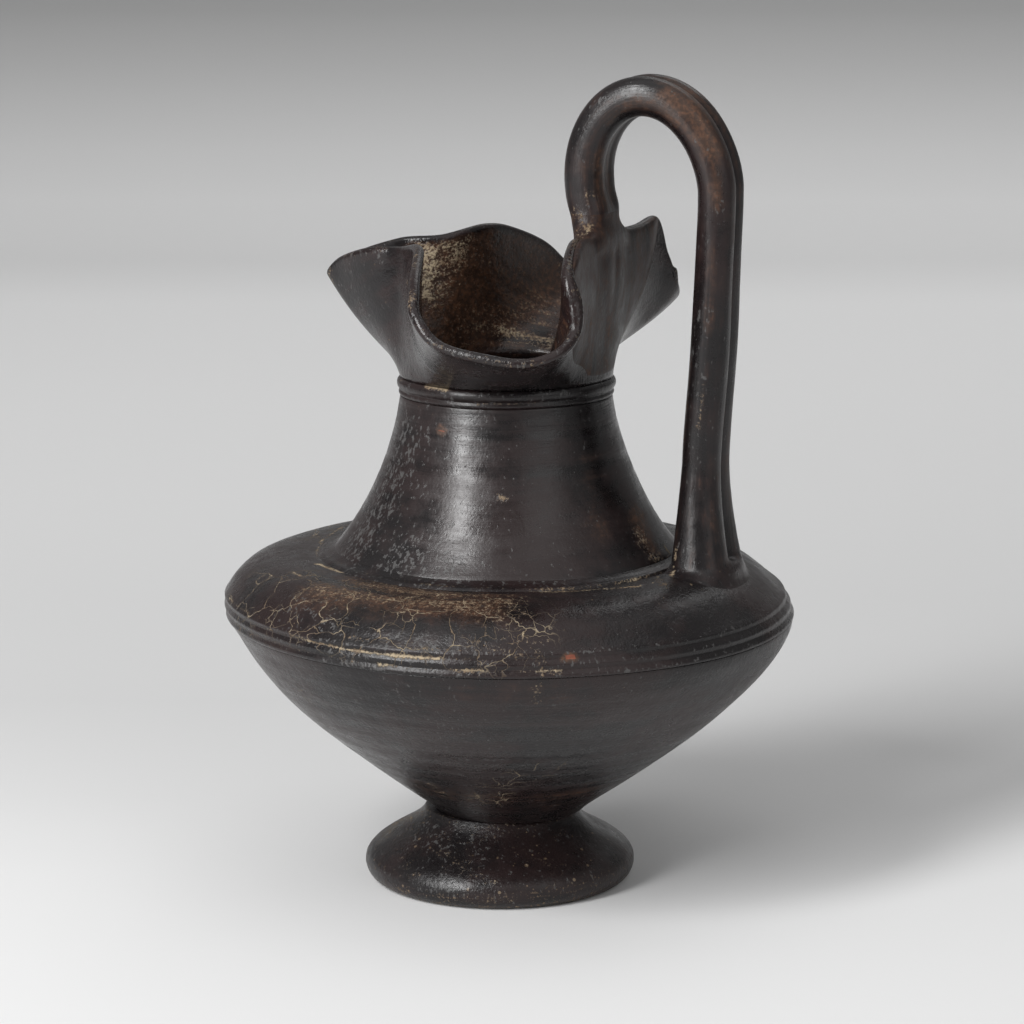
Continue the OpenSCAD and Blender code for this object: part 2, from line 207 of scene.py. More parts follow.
def placed(name, data):
    made = bpy.data.objects.new(name, data)
    bpy.context.scene.collection.objects.link(made)
    return made


def mesh_piece(name, points, faces, node, sharp=None):
    """A smooth mesh, bent by hand, that rides on the jug's one body in place of a solid."""
    data = bpy.data.meshes.new(name)
    data.from_pydata((by_hand(points) * MM).tolist(), [], faces)
    data.validate()
    data.shade_smooth()
    if sharp:
        data.set_sharp_from_angle(angle=math.radians(sharp))
    piece = placed(name, data)
    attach(piece, "root")
    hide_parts(node)
    return piece


def loop_faces(rows, columns, closed):
    """Quads of a grid whose columns run round, and whose rows do too if closed."""
    faces = []
    for i in range(rows if closed else rows - 1):
        a, b = i * columns, ((i + 1) % rows) * columns
        for j in range(columns):
            k = (j + 1) % columns
            faces.append((a + j, a + k, b + k, b + j))
    return faces


# Columns of a turned piece, and the height from one mark of throwing to the next
SPIN = 400
THROW_STEP = 1.3
THROW_H = np.arange(-5, 305, THROW_STEP)


def even(path, step, closed):
    if closed:
        path = np.vstack([path, path[:1]])
    run = run_along(path)
    at = np.linspace(0, run[-1], max(8, int(run[-1] / step)) + 1)
    out = np.stack([np.interp(at, run, values) for values in path.T], 1)
    return out[:-1] if closed else out


def rounded(path, round_r, closed, step=0.3):
    """The path with its corners rubbed round."""
    path = even(path, step, closed)
    n = max(1, int(2.5 * round_r / step))
    weight = np.exp(-0.5 * (np.arange(-n, n + 1) * step / round_r) ** 2)
    weight /= weight.sum()
    padded = np.vstack([path[-n:], path, path[:n]]) if closed else np.vstack(
        [2 * path[0] - path[n:0:-1], path, 2 * path[-1] - path[-2:-n - 2:-1]])
    return np.stack([np.convolve(padded[:, k], weight, "valid") for k in (0, 1)], 1)


def thinned(path, far, bend):
    """The points where the path turns, and points far apart where it runs straight."""
    keep = [0]
    for i in range(1, len(path) - 1):
        last = path[keep[-1]]
        a, b = path[i] - last, path[i + 1] - path[i]
        turn = abs(math.atan2(a[0] * b[1] - a[1] * b[0], a @ b))
        if np.linalg.norm(path[i + 1] - last) > far or turn > bend:
            keep.append(i)
    return path[keep + [len(path) - 1]]


def turned(name, profile, node, axis_x=0.0, round_r=0.35, far=1.7, ripple=0.05):
    """A thrown piece: a profile of radius and height, turned, with the marks of throwing. A profile that
    starts on the axis ends on it, and any other closes on itself."""
    profile = np.vstack(profile).astype(float)
    closed = profile[0][0] > 1e-6
    path = thinned(rounded(profile, round_r, closed), far, math.radians(7))
    if closed:
        path = path[:-1]
    body = path if closed else path[1:-1]
    thrown = np.random.default_rng(5).normal(size=len(THROW_H)).clip(-2, 2)
    radius = body[:, 0] - np.abs(ripple * np.interp(body[:, 1], THROW_H, thrown))
    angle = 2 * math.pi * np.arange(SPIN) / SPIN
    x = axis_x + radius[:, None] * np.cos(angle)
    y = radius[:, None] * np.sin(angle)
    z = np.repeat(body[:, 1][:, None], SPIN, 1)
    points = np.stack([x, y, z], 2).reshape(-1, 3)
    faces = loop_faces(len(body), SPIN, closed)
    if not closed:
        first, last = len(points), len(points) + 1
        points = np.vstack([points, [[axis_x, 0, path[0][1]], [axis_x, 0, path[-1][1]]]])
        end = (len(body) - 1) * SPIN
        for j in range(SPIN):
            k = (j + 1) % SPIN
            faces += [(first, k, j), (last, end + j, end + k)]
    return mesh_piece(name, points, faces, node)


def foot():
    """A spreading foot, hollow from below, with a socket for the boss under the bowl."""
    edge, socket_r = [FOOT_R, FOOT_EDGE_H], WAIST_R - 6.1
    profile = [
        [[0, HOLLOW_H]],
        curve([0, HOLLOW_H], [14, 0], [-11, 5.5], [REST_R - REST_W, 0]),
        curve([REST_R, 0], [2.6, 0.4], [0, -3], edge),
        curve(edge, [0, 7.6], [3.9, -8.7], [WAIST_R, FOOT_H]),
        [[socket_r, FOOT_H], [socket_r, FOOT_H - LAP_H], [0, FOOT_H - LAP_H]]]
    return turned("foot_turned", profile, "foot", axis_x=FOOT_X, round_r=0.5)


BOWL_RIM_R = BODY_R - 0.7
BOWL_OUT = curve([WAIST_R, FOOT_H], [5.1, 7.1], [-10.8, -32.5], [BOWL_RIM_R, CARINATION_H])
BOWL_IN = moved(BOWL_OUT, WALL)
RIM_LAP_R = BODY_R - WALL / 2


def bowl():
    """The lower body, with a boss under its floor and a tongue round its rim."""
    boss_r, tongue_top_h = WAIST_R - 1.4 * WALL, CARINATION_H + LAP_H
    profile = [
        [[0, FOOT_H - LAP_H], [boss_r, FOOT_H - LAP_H], [boss_r, FOOT_H]],
        BOWL_OUT,
        [[RIM_LAP_R, CARINATION_H], [RIM_LAP_R, tongue_top_h], [BOWL_IN[-1][0], tongue_top_h]],
        BOWL_IN[::-1],
        [[0, BOWL_IN[0][1]]]]
    return turned("bowl_thrown", profile, "bowl")


RIDGE_H = CARINATION_H + 1
RIDGE_T = np.linspace(0, 2, 61)
CRESTS = np.abs(np.cos(math.pi * RIDGE_T)) ** CREST_POWER
RIDGES = np.stack([BODY_R - RIDGE_LEAN * (RIDGE_PITCH * RIDGE_T) ** 2 - GROOVE_DEEP * (1 - CRESTS),
                   RIDGE_H + RIDGE_PITCH * RIDGE_T], 1)
DOME = curve(RIDGES[-1], [-5, 4], [28, 1.8], [RING_R, SHOULDER_H])


def shoulder():
    """The dome above the carination, with three ridges at its edge and a lap for the neck."""
    gap, lap_r = SLIP, NECK_BASE_R - WALL / 2
    profile = [
        [[RIM_LAP_R + gap, CARINATION_H], [BODY_R - 0.4, CARINATION_H]],
        RIDGES,
        DOME[1:],
        [[lap_r, SHOULDER_H], [lap_r, SHOULDER_H + LAP_H], [NECK_BASE_R - WALL, SHOULDER_H + LAP_H],
         [NECK_BASE_R - WALL, SHOULDER_H - WALL]],
        moved(DOME, WALL)[::-1],
        [[BOWL_IN[-1][0], CARINATION_H + LAP_H], [RIM_LAP_R + gap, CARINATION_H + LAP_H]]]
    return turned("shoulder_thrown", profile, "shoulder", round_r=0.3)


def neck_base_ring():
    """A low bead on the shoulder, with a hollow between it and the neck."""
    inner_r, outer_r = NECK_BASE_R - 0.2, RING_R + 2.6
    crest, top = [RING_R + 0.6, SHOULDER_H + 1.25], RING_TOP_H
    profile = [
        [[inner_r, SHOULDER_H - 0.5], [outer_r, SHOULDER_H - 0.5]],
        curve([outer_r, SHOULDER_H - 0.1], [-0.6, 0.2], [1, 0], crest),
        curve(crest, [-1.1, 0], [0.9, -1.0], [inner_r, top])]
    return turned("neck_base_moulding", profile, "neck_base_ring", round_r=0.3, far=0.8)


NECK_OUT = curve([NECK_BASE_R, RING_TOP_H], [-10, 11.1], [3.2, -22.9], [NECK_TOP_R, NECK_TOP_H])


def neck():
    """The flared tube, with a rebate round the shoulder's lap and a spigot for collar and mouth."""
    lap_top_h = SHOULDER_H + LAP_H
    inside = moved(NECK_OUT, WALL)
    inside = inside[inside[:, 1] > lap_top_h + SLIP]
    lap_r, spigot_r = NECK_BASE_R - WALL / 2 + SLIP, NECK_TOP_R - 1.6
    profile = [
        [[lap_r, SHOULDER_H], [NECK_BASE_R, SHOULDER_H]],
        NECK_OUT,
        [[spigot_r, NECK_TOP_H], [spigot_r, MOUTH_H], [inside[-1][0], MOUTH_H]],
        inside[::-1],
        [[NECK_BASE_R - WALL, lap_top_h], [lap_r, lap_top_h]]]
    return turned("neck_thrown", profile, "neck", ripple=0.07)


# The collar's beads: where each starts, its share of the collar's height, how far it stands out, how full
LOW_BEAD = 0.34
BEADS = [(0, LOW_BEAD, 0.5 * COLLAR_OUT, 1.1), (LOW_BEAD, 0.66, COLLAR_OUT, 0.7)]


def collar():
    """A thin bead and a fat one above it."""
    t = np.linspace(0, 1, 33)
    tall, seat_r = MOUTH_H - NECK_TOP_H, NECK_TOP_R - 1.4
    beads = [np.stack([NECK_TOP_R + out * np.sin(math.pi * t).clip(0) ** power,
                       NECK_TOP_H + (start + share * t) * tall], 1) for start, share, out, power in BEADS]
    profile = [[[seat_r, NECK_TOP_H]], *beads, [[seat_r, MOUTH_H]]]
    return turned("collar_beads", profile, "collar", round_r=0.25, far=0.8)


# Half of the rim, from the spout's tip to the middle of the back: reach toward the spout, distance from the
# mirror plane, height over the collar, and degrees from the spout where its clay starts
RIM = np.array([
    [69, 0, 32.6, 0], [62.5, 6.5, 38.2, 9], [48, 17.3, 43.2, 22], [33, 21.5, 45.2, 35],
    [22, 36, 47.8, 50], [16.5, 50.5, 44.6, 60], [11.5, 66.5, 38, 71], [7, 76, 30, 82],
    [-5, 79.5, 20.6, 96], [-26, 77.5, 16.4, 108], [-41, 69.5, 19.6, 117], [-45.5, 58.5, 26.5, 124],
    [-43.5, 54.5, 35, 130], [-40, 52, 51, 139], [-37.5, 34, 50, 152], [-35.5, 16, 50, 166],
    [-35.5, 0, 50, 180]])
# How the near lobe departs: rows of RIM, and what is added to reach, distance and height
NEAR_SIDE = {8: (0, 0, -0.4), 9: (-4.1, 0, -1.2), 10: (-2.8, 0, -1.6), 11: (-2.2, 0, -2), 12: (-3.8, 0, -0.6),
             13: (-3.2, 0, -6.2), 14: (-0.7, 0, 1.6), 15: (0, 0, 1)}
# The lip is stouter beside the near back corner: rows of RIM, and how much
STOUT_ROW, STOUT_ROWS, STOUT = 12.2, 1.0, 0.45
RIM_PARTS = 12
HALF = (len(RIM) - 1) * RIM_PARTS
COLUMNS = 2 * HALF
WALL_ROWS = 36
LIP_STEPS = 10
CORNER_ROUNDS = 10
# How far the wall bellies out, and what more at two places, each a column and a reach in columns
BELLY = 0.2
FAR_LOBE, FAR_LOBE_MORE = (COLUMNS - 11 * RIM_PARTS, 26), 0.5
SPOUT, SPOUT_MORE = (HALF, 14), 0.2
# The far back corner, filled and rubbed over: column and reach, and rounds of rubbing
FAR_CORNER, FILL_ROUNDS = (COLUMNS - 13 * RIM_PARTS, 15), 28


def catmull(control):
    """Points on the closed spline through the control points."""
    p0, p1, p2, p3 = (np.roll(control, k, 0)[:, None] for k in (1, 0, -1, -2))
    t = (np.arange(RIM_PARTS) / RIM_PARTS)[None, :, None]
    out = 0.5 * (2 * p1 + (p2 - p0) * t + (2 * p0 - 5 * p1 + 4 * p2 - p3) * t * t
                 + (3 * p1 - p0 - 3 * p2 + p3) * t ** 3)
    return out.reshape(-1, control.shape[1])


def rim_and_base():
    """The rim, and the points of the neck's circle that its clay rises from."""
    near, far = RIM.copy(), RIM[-2:0:-1] * [1, -1, 1, 1]
    for row, more in NEAR_SIDE.items():
        near[row, :3] += more
    rim = catmull(np.vstack([near, far])[:, :3] * [-1, -1, 1] + [0, 0, MOUTH_H])
    a = np.radians(np.r_[RIM[:, 3], 360 - far[:, 3]])
    ring = -NECK_TOP_R * unit(catmull(np.stack([np.cos(a), np.sin(a)], 1)))
    return rim, np.column_stack([ring, np.full(COLUMNS, MOUTH_H)])


def wall_grid():
    """Rows of the mouth's outer face from collar to rim, with its outward and upward directions."""
    rim, base = rim_and_base()
    columns, share = np.arange(COLUMNS), np.linspace(0, 1, WALL_ROWS + 1)
    way = rim - base
    lean = np.linalg.norm(way[:, :2], axis=1)[:, None] / NECK_TOP_R
    full = 1 + FAR_LOBE_MORE * band(columns, *FAR_LOBE) + SPOUT_MORE * band(np.abs(columns - HALF), *SPOUT)
    belly = BELLY * (full[:, None] * lean) * base * [1, 1, 0]
    up = 0.05 * np.linalg.norm(way, axis=1)[:, None] * [0, 0, 1]
    rows = np.array([cubic(b, b + 0.33 * w + e + u, r - 0.33 * w + 0.7 * e, r, share)
                     for b, w, e, u, r in zip(base, way, belly, up, rim)]).transpose(1, 0, 2)
    below_rim = np.sin(math.pi * share).clip(0)
    for _ in range(CORNER_ROUNDS):
        soft = (np.roll(rows, -2, 1) + np.roll(rows, 2, 1)) / 2
        rows += 0.5 * below_rim[:, None, None] * (soft - rows)
    filled = np.sqrt(below_rim)[:, None, None] * band(columns, *FAR_CORNER)[None, :, None]
    for _ in range(FILL_ROUNDS):
        rows += 0.5 * filled * ((np.roll(rows, -4, 1) + np.roll(rows, 4, 1)) / 2 - rows)
    across = np.roll(rows, -1, 1) - np.roll(rows, 1, 1)
    along = np.gradient(rows, axis=0)
    out = unit(np.cross(across, along))
    out[0] = base * [1, 1, 0] / NECK_TOP_R
    return rows, out, unit(rows[-1] - rows[-2])


WALL_FACE, WALL_OUT, WALL_UP = wall_grid()


def mouth():
    """The folded wall with its rounded lip."""
    a = np.radians(180 * np.arange(1, LIP_STEPS) / LIP_STEPS)[:, None, None]
    stout = STOUT * band(np.arange(COLUMNS) / RIM_PARTS, STOUT_ROW, STOUT_ROWS)
    thick = LIP * (1 + stout + 0.07 * waves(WALL_FACE[-1], 24, 3))[:, None]
    lip = WALL_FACE[-1] - thick / 2 * (1 - np.cos(a)) * WALL_OUT[-1] + thick / 2 * np.sin(a) * WALL_UP
    inside = WALL_FACE[::-1] - thick * WALL_OUT[::-1]
    rows = np.concatenate([WALL_FACE, lip, inside])
    faces = loop_faces(len(rows), COLUMNS, True)
    return mesh_piece("mouth_folded", rows.reshape(-1, 3), faces, "mouth")


# The slab behind the mouth's back: thickness, first column and row of the wall, two ridges, how far it
# reaches into the wall, and its top as shares of its thickness and of the lip
PLATE_T = 4.2
PLATE_FIRST = 13 * RIM_PARTS - 3
PLATE_LOW = 1
PLATE_RIDGE_W, PLATE_RIDGE_OUT = 5, 1.6
PLATE_INTO = 1.6
PLATE_TOP = ((0.97, 0.25), (0.85, 0.4), (0.6, 0.47), (0.3, 0.48), (0.1, 0.47))


def plate_mesh():
    """The slab behind the mouth's back, with two ridges that run down from the rods."""
    columns = np.arange(PLATE_FIRST, COLUMNS - PLATE_FIRST + 1)
    face, out = WALL_FACE[PLATE_LOW:, columns], WALL_OUT[PLATE_LOW:, columns]
    share = np.linspace(0, 1, len(face))[:, None]
    side = np.minimum(columns - columns[0], columns[-1] - columns)
    edge = smooth(side, 0, 9) * (0.5 + 0.5 * smooth(side, 0, 50))
    ridge = band(np.abs(face[:, :, 1]), 0.55 * ROD_PITCH, PLATE_RIDGE_W)
    rise = 0.2 + 0.8 * smooth(share, 0.05, 0.8)
    thick = PLATE_T * (1.15 * edge * rise - 0.15) + PLATE_RIDGE_OUT * ridge * smooth(share, 0.3, 1)
    up = WALL_UP[columns]
    outer = face + thick[:, :, None] * out
    top = [face[-1] + k * thick[-1][:, None] * out[-1] + LIP * h * up for k, h in PLATE_TOP]
    inner = (face - PLATE_INTO * out)[::-1]
    rows = np.concatenate([outer, top, inner])
    n, m = len(rows), len(columns)
    faces = []
    for i in range(n):
        a, b = i * m, ((i + 1) % n) * m
        faces += [(a + j, a + j + 1, b + j + 1, b + j) for j in range(m - 1)]
    faces.append(tuple(i * m for i in range(n)))
    faces.append(tuple(i * m + m - 1 for i in range(n - 1, -1, -1)))
    return rows.reshape(-1, 3), faces


# The loop over the mouth: its height, how far it leans toward the spout, and where it starts and ends
LOOP_H = 31.5
LOOP_LEAN = 2.8
LOOP_TOP = HANDLE_TOP_H - 0.532 * ROD_D
LOOP_BASE = LOOP_TOP - LOOP_H
# Sides of a rod's mesh, and how far each rod is pressed past the flat between them
ROD_SIDES = 40
PRESSED = 0.15
# The clay rubbed between the rods: sides, half width, depth and way inward as shares of the rod
WEB_SIDES = 12
WEB_HALF_W = 6.2
WEB_DEEP, WEB_IN = 0.42, 0.62
# The lump over the back's edge, and the clay pressed round the rods' lower ends
ROOT_SIDES, ROOT_LEVELS = 64, 30
ROOT_HALF_W = 22
PAD_SIDES, PAD_RINGS = 96, 30
PAD_HALF = (16.5, 25.5)
PAD_THICK = 2.2


def squarish(a, power):
    """Cosines and sines of the angles, squared off by a power below 1."""
    return [np.sign(v) * np.abs(v) ** power for v in (np.cos(a), np.sin(a))]


def tube_faces(rows, columns):
    """Quads of a tube and the faces that close its two ends."""
    first, last = range(columns - 1, -1, -1), range((rows - 1) * columns, rows * columns)
    return loop_faces(rows, columns, False) + [tuple(first), tuple(last)]


def handle_line():
    """Centre line of the handle in the mirror plane, from root over loop to pad."""
    mid, r = (RISE_X + FALL_X) / 2, (FALL_X - RISE_X) / 2
    a = np.linspace(0, math.pi, 91)[1:]
    loop = np.stack([mid - r * np.cos(a) - LOOP_LEAN * np.sin(a), LOOP_BASE + LOOP_H * np.sin(a)], 1)
    fall = curve([FALL_X, LOOP_BASE], [0.6, -50], [-3, 50], [SEAT_X, PAD_TOP_H], 90)
    rise = curve([RISE_X + 2, ROOT_TOP_H], [-0.6, 3], [0, -4], [RISE_X, LOOP_BASE], 10)
    return np.vstack([rise, loop, fall[1:]]), len(rise) + len(loop)


LINE, LOOP_LAST = handle_line()


def rod_sizes():
    """Scale of the rods along the line: a little thicker where they rise, spread at the pad."""
    over_pad = LINE[:, 1] - PAD_TOP_H
    i = np.arange(len(LINE))
    rise = 1 + 0.08 * (1 - (i / LOOP_LAST) ** 3)
    fall = 1 + 0.05 * smooth(-LINE[:, 1], -LOOP_BASE, 60 - LOOP_BASE)
    fall += 0.55 * np.clip(1 - over_pad / 36, 0, 1) ** 1.4
    return np.where(i < LOOP_LAST, rise, fall)


def round_line(across, y, left):
    """Points round the handle's line, which lie across to its left and at y, a row for each of its points."""
    flat = LINE[:, None] + across[:, :, None] * left[:, None]
    return np.stack([flat[:, :, 0], y, flat[:, :, 1]], 2).reshape(-1, 3)


def rod_mesh(side):
    """One rod, a circle cut flat where the two are pressed together."""
    n = ROD_SIDES
    cut = math.acos(ROD_PITCH / ROD_D)
    a = math.pi - cut - (2 * math.pi - 2 * cut) * np.arange(n) / (n - 1)
    across, off = ROD_D / 2 * np.sin(a), ROD_PITCH / 2 + ROD_D / 2 * np.cos(a) - PRESSED
    left = left_of(LINE)
    left[0], left[-1] = [-1, 0], [1, 0]
    k = rod_sizes()[:, None]
    faces = tube_faces(len(LINE), n)
    if side > 0:
        faces = [f[::-1] for f in faces]
    return round_line(k * across, side * k * off, left), faces


def web_mesh():
    """The clay rubbed into the groove between the rods, inside the loop."""
    a = 2 * math.pi * np.arange(WEB_SIDES) / WEB_SIDES
    k = rod_sizes()[:, None] * (ROD_D / 2 - 0.8)
    across = k * (WEB_DEEP * np.sin(a) - WEB_IN)
    y = 0 * across + WEB_HALF_W * np.cos(a)
    return round_line(across, y, left_of(LINE)), tube_faces(len(LINE), WEB_SIDES)


def root_mesh():
    """The lump that saddles the back's edge and carries both rods."""
    n = ROOT_SIDES
    top = rod_sizes()[0] * np.array([ROD_D / 2, (ROD_PITCH + ROD_D) / 2])
    foot_half = np.array([(LIP + PLATE_T) / 2 + 1.8, ROOT_HALF_W])
    foot_x, top_x = BACK_X - LIP / 2 + PLATE_T / 2, LINE[0][0]
    across, sideways = squarish(2 * math.pi * np.arange(n) / n, 0.8)
    rows = []
    for s in np.linspace(-0.6, 1.25, ROOT_LEVELS):
        e = (1 - min(max(s, 0), 1)) ** 2.4
        half = (top + (foot_half - top) * e) * (1 - 0.3 * max(s - 1, 0))
        x = top_x + (foot_x - top_x) * e
        z = BACK_TOP_H + (ROOT_TOP_H - BACK_TOP_H) * s
        rows.append(np.stack([x + half[0] * across, half[1] * sideways, np.full(n, z)], 1))
    return np.concatenate(rows), tube_faces(ROOT_LEVELS, n)


def pad_mesh():
    """The clay smoothed round the rods' lower ends and thinned out on the shoulder."""
    mid_x = SEAT_X + 1.2
    across, sideways = squarish(2 * math.pi * np.arange(PAD_SIDES) / PAD_SIDES, 0.85)
    rows = []
    for t in np.linspace(0.06, 1, PAD_RINGS):
        x, y = mid_x + t * PAD_HALF[0] * across, t * PAD_HALF[1] * sideways
        dome = np.interp(np.hypot(x, y), DOME[::-1, 0], DOME[::-1, 1])
        lift = (PAD_TOP_H - dome + 1.2) * (1 - smooth(t, 0.55, 1.02)) ** 1.6 - 0.35
        rows.append(np.stack([x, y, dome + lift], 1))
    under = [row - [0, 0, PAD_THICK] for row in rows[::-1]]
    return np.concatenate(rows + under), tube_faces(2 * PAD_RINGS, PAD_SIDES)


# Size of the voxels that the handle's skin is made in
SKIN_VOXEL = 0.7


def joined(meshes):
    """One skin round all the meshes, as wet clay has."""
    data = bpy.data.meshes.new("skin")
    points, faces, start = [], [], 0
    for p, f in meshes:
        points.append(p)
        faces += [tuple(start + v for v in face) for face in f]
        start += len(p)
    data.from_pydata((np.concatenate(points) * MM).tolist(), [], faces)
    skin = placed("skin", data)
    fixed = skin.modifiers.new("skin", "REMESH")
    fixed.mode, fixed.voxel_size = "VOXEL", SKIN_VOXEL * MM
    made = bpy.data.meshes.new_from_object(skin.evaluated_get(bpy.context.evaluated_depsgraph_get()))
    bpy.data.objects.remove(skin)
    return made


# Between the rising and the falling rods
HANDLE_GAP_X = 52.0
# Edges of the handle's pieces that turn by more than this many degrees stay sharp
SHARP = 50


def kept(skin, place, way, where=lambda x: True):
    """What lies on the side of the plane that way points to, closed again along the cut. Only points whose x
    passes where are taken off."""
    part = skin.copy()
    bmesh.ops.bisect_plane(part, geom=part.verts[:] + part.edges[:] + part.faces[:], dist=1e-8,
                           plane_co=Vector(place) * MM, plane_no=Vector(way))
    flat, up = Vector(place) * MM, Vector(way)
    gone = [v for v in part.verts if (v.co - flat).dot(up) < -1e-7 and where(v.co.x / MM)]
    bmesh.ops.delete(part, geom=gone, context="VERTS")
    bmesh.ops.holes_fill(part, edges=[e for e in part.edges if e.is_boundary], sides=0)
    return part


def rubbed(skin, where, times):
    """Smooths the skin's points that pass where, as a wet thumb does."""
    verts = [v for v in skin.verts if where(v.co.x / MM, v.co.z / MM)]
    for _ in range(times):
        bmesh.ops.smooth_vert(skin, verts=verts, factor=0.5, use_axis_x=True, use_axis_y=True,
                              use_axis_z=True)


def handle_skin():
    """The whole handle, rubbed over where its pieces join."""
    skin = bmesh.new()
    skin.from_mesh(joined([rod_mesh(-1), rod_mesh(1), web_mesh(), root_mesh(), plate_mesh(), pad_mesh()]))
    rubbed(skin, lambda x, z: x < HANDLE_GAP_X and MOUTH_H + 34 < z < ROOT_TOP_H + 9, 14)
    rubbed(skin, lambda x, z: x < HANDLE_GAP_X and z < MOUTH_H + 40, 9)
    rubbed(skin, lambda x, z: x > HANDLE_GAP_X and z < PAD_TOP_H + 9, 11)
    rubbed(skin, lambda x, z: True, 2)
    return skin


def handle_parts(skin):
    """The skin parted again into near rod, far rod, root, plate and pad."""
    up, down = (0, 0, 1), (0, 0, -1)
    gap, pad_top = (HANDLE_GAP_X, 0, 0), (0, 0, PAD_TOP_H)
    root_top, back_top = (0, 0, ROOT_TOP_H), (0, 0, BACK_TOP_H)
    rising, falling = kept(skin, gap, (-1, 0, 0)), kept(skin, gap, (1, 0, 0))
    under = kept(rising, root_top, down)
    rods = kept(skin, root_top, up, where=lambda x: x < HANDLE_GAP_X)
    rods = kept(rods, pad_top, up, where=lambda x: x > HANDLE_GAP_X)
    return [kept(rods, (0, 0, 0), (0, -1, 0)), kept(rods, (0, 0, 0), (0, 1, 0)),
            kept(under, back_top, up), kept(under, back_top, down), kept(falling, pad_top, down)]


def handle():
    """The handle's five pieces."""
    names = [("rod_near_drawn", "handle_clay", "rod_near"),
             ("rod_far_drawn", "handle_clay", "rod_far"),
             ("handle_root_lump", "plate_clay", "handle_root"),
             ("handle_plate_slab", "plate_clay", "handle_plate"),
             ("handle_pad_smoothed", "shoulder_clay", "handle_pad")]
    out = []
    for (name, slot, node), part in zip(names, handle_parts(handle_skin())):
        points = np.array([v.co[:] for v in part.verts]) / MM
        part.verts.index_update()
        faces = [tuple(v.index for v in f.verts) for f in part.faces]
        out.append(mesh_piece(name, points, faces, node, SHARP))
    return out


# Colours of the clay, as linear reflectances
DUSK = (0.0082, 0.0066, 0.0070)
PLUM = (0.0170, 0.0100, 0.0098)
BROWN = (0.040, 0.022, 0.015)
RUST = (0.092, 0.043, 0.024)
# grey of rubbed-through flecks, also used to paint highlights and sheen
GREY = (0.070, 0.068, 0.067)
TAN = (0.195, 0.138, 0.086)
CREAM = (0.36, 0.29, 0.195)
BRICK = (0.26, 0.070, 0.036)


class Nodes:
    """Short names for the nodes that the clays are built from. Every length is in millimetres."""

    def __init__(self, name):
        self.made = bpy.data.materials.new(name)
        self.made.use_nodes = True
        self.tree = self.made.node_tree
        self.shader = self.tree.nodes["Principled BSDF"]

    def put(self, socket, value):
        if isinstance(value, bpy.types.NodeSocket):
            self.tree.links.new(value, socket)
        elif socket.type == "RGBA":
            socket.default_value = (*value, 1)
        else:
            socket.default_value = value

    def node(self, kind, values, **settings):
        made = self.tree.nodes.new(kind)
        for key, value in settings.items():
            setattr(made, key, value)
        for key, value in values.items():
            self.put(made.inputs[key], value)
        return made

    def math(self, how, a, b=0.0, c=0.0):
        return self.node("ShaderNodeMath", {0: a, 1: b, 2: c}, operation=how).outputs[0]

    def times(self, a, b):
        return self.math("MULTIPLY", a, b)

    def sum(self, *terms):
        """The sum of the values, each times its weight."""
        total = 0.0
        for value, weight in terms:
            total = self.math("MULTIPLY_ADD", value, weight, total)
        return total

    def vectors(self, how, a, b):
        return self.node("ShaderNodeVectorMath", {0: a, 1: b}, operation=how).outputs[0]

    def step(self, value, start, end):
        """0 at start and 1 at end, with a smooth way between. start may be above end."""
        return self.node("ShaderNodeMapRange", {"Value": value, "From Min": start, "From Max": end},
                         interpolation_type="SMOOTHSTEP").outputs[0]

    def mix(self, share, a, b):
        return self.node("ShaderNodeMix", {0: share, 6: a, 7: b}, data_type="RGBA").outputs[2]

    def place(self):
        where = self.node("ShaderNodeTexCoord", {}).outputs["Object"]
        return self.vectors("MULTIPLY", where, (1 / MM, 1 / MM, 1 / MM))

    def vector(self, name):
        return self.node("ShaderNodeAttribute", {}, attribute_name=name).outputs["Vector"]

    def mark(self, name):
        return self.node("ShaderNodeAttribute", {}, attribute_name=name).outputs["Fac"]

    def noise(self, where, length, detail=2.0, rough=0.5):
        """Noise about 0.5 whose largest features are as long as length."""
        return self.node("ShaderNodeTexNoise", {"Vector": where, "Scale": 1 / length, "Detail": detail,
                                                "Roughness": rough}).outputs[0]

    def cells(self, where, length, feature):
        return self.node("ShaderNodeTexVoronoi", {"Vector": where, "Scale": 1 / length}, feature=feature)

    def specks(self, where, length, share, widest):
        """Round specks in a share of the cells, each with its own size up to the widest."""
        cells = self.cells(where, length, "F1")
        chance = self.node("ShaderNodeSeparateColor", {"Color": cells.outputs["Color"]}).outputs[0]
        size = self.times(self.math("SUBTRACT", chance, 1 - share), widest / share / length)
        return self.times(self.step(self.math("SUBTRACT", size, cells.outputs["Distance"]), 0.0, 0.05),
                          self.math("GREATER_THAN", size, 0.0))


def cracks(n, place):
    """A net of fine cracks, 0 to 1."""
    waver = n.node("ShaderNodeTexNoise", {"Vector": place, "Scale": 0.13, "Detail": 3.0}).outputs[1]
    bent = n.vectors("ADD", place, n.vectors("MULTIPLY", waver, (8, 8, 8)))
    wide = n.cells(bent, 16.0, "DISTANCE_TO_EDGE").outputs["Distance"]
    fine = n.cells(bent, 7.5, "DISTANCE_TO_EDGE").outputs["Distance"]
    open_here = n.step(n.noise(place, 10.0, 2.0), 0.36, 0.5)
    some = n.times(n.step(n.noise(place, 13.0, 1.0), 0.48, 0.57), 0.8)
    return n.math("MAXIMUM", n.times(n.step(wide, 0.012, 0.003), open_here),
                  n.times(n.step(fine, 0.016, 0.005), some))


def textures(n):
    """The noises that a clay's colour, sheen and relief share."""
    place, grain = n.place(), n.vector("grain")
    return SimpleNamespace(
        place=place, patches=n.noise(place, 42, 3), mottle=n.noise(place, 8, 4, 0.6),
        fine=n.noise(place, 1.9, 4, 0.65), tiny=n.noise(place, 0.9, 2, 0.6),
        turning=n.noise(grain, 10, 1), streak=n.noise(grain, 3.2, 5, 0.65),
        thread=n.noise(grain, 0.9, 3, 0.6))


